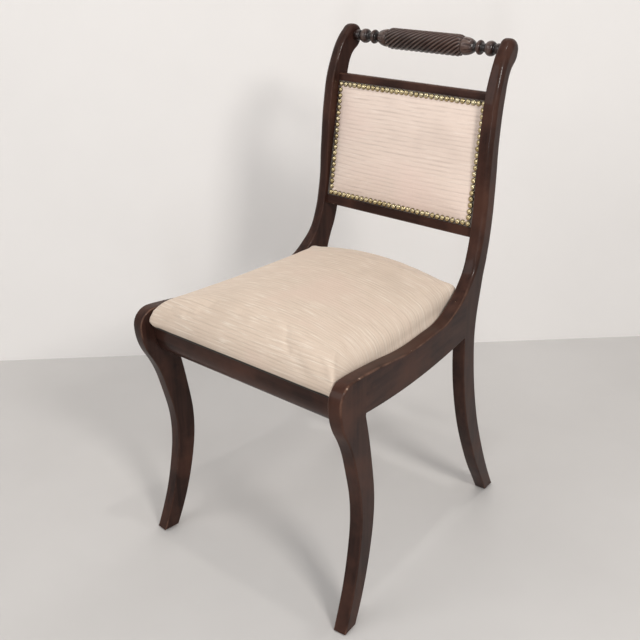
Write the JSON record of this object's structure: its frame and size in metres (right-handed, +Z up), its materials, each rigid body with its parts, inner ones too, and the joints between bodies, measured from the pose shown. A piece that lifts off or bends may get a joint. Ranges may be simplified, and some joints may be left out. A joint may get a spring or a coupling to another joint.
{
  "type": "dining chair",
  "caption": "Dark-stained dining chair with sabre legs, a rope-twist crest rail, a nailed upholstered back panel and a drop-in upholstered seat that lifts out.",
  "frame": {"origin": "on the floor under the middle of the chair's bounding box", "axes": "+Z up, -Y towards the front of the chair, +X to the right of someone who faces its front"},
  "size_m": [0.447, 0.5299, 0.8495],
  "materials": {
    "stained_wood": "very dark brown stain under a worn satin varnish",
    "plain_wood": "plain sawn hardwood",
    "seat_velvet": "cream ribbed velvet, worn",
    "panel_velvet": "cream ribbed velvet with a pinkish cast",
    "foam": "soft upholstery padding",
    "dust_cloth": "thin black lining cloth",
    "webbing": "woven jute straps",
    "nail_brass": "polished domed heads",
    "screw_steel": "plain steel",
    "glide_plastic": "matte dark plastic"
  },
  "bodies": {
    "frame": {"right_front_leg": "stained_wood", "left_front_leg": "stained_wood", "right_side_rail": "stained_wood", "left_side_rail": "stained_wood", "right_rear_leg": "stained_wood", "left_rear_leg": "stained_wood", "front_rail": "stained_wood", "rear_rail": "stained_wood", "back_top_rail": "stained_wood", "back_bottom_rail": "stained_wood", "crest_rail": "stained_wood", "back_board": "plain_wood", "back_foam": "foam", "back_cover": "panel_velvet", "back_rear_cloth": "panel_velvet", "back_nails": "nail_brass", "right_seat_ledge": "plain_wood", "left_seat_ledge": "plain_wood", "corner_blocks": "plain_wood", "corner_screws": "screw_steel", "frame_dowels": "plain_wood", "foot_glides": "glide_plastic"},
    "drop_in_seat": {"seat_cover": "seat_velvet", "seat_foam": "foam", "seat_dust_cloth": "dust_cloth", "seat_front_bar": "plain_wood", "seat_rear_bar": "plain_wood", "right_seat_bar": "plain_wood", "left_seat_bar": "plain_wood", "seat_bar_dowels": "plain_wood", "seat_webbing": "webbing"}
  },
  "joints": [
    {"name": "seat_lift", "type": "slide", "parent": "frame", "child": "drop_in_seat", "axis": [0, 0, 1], "range_m": [0, 0.1]}
  ]
}
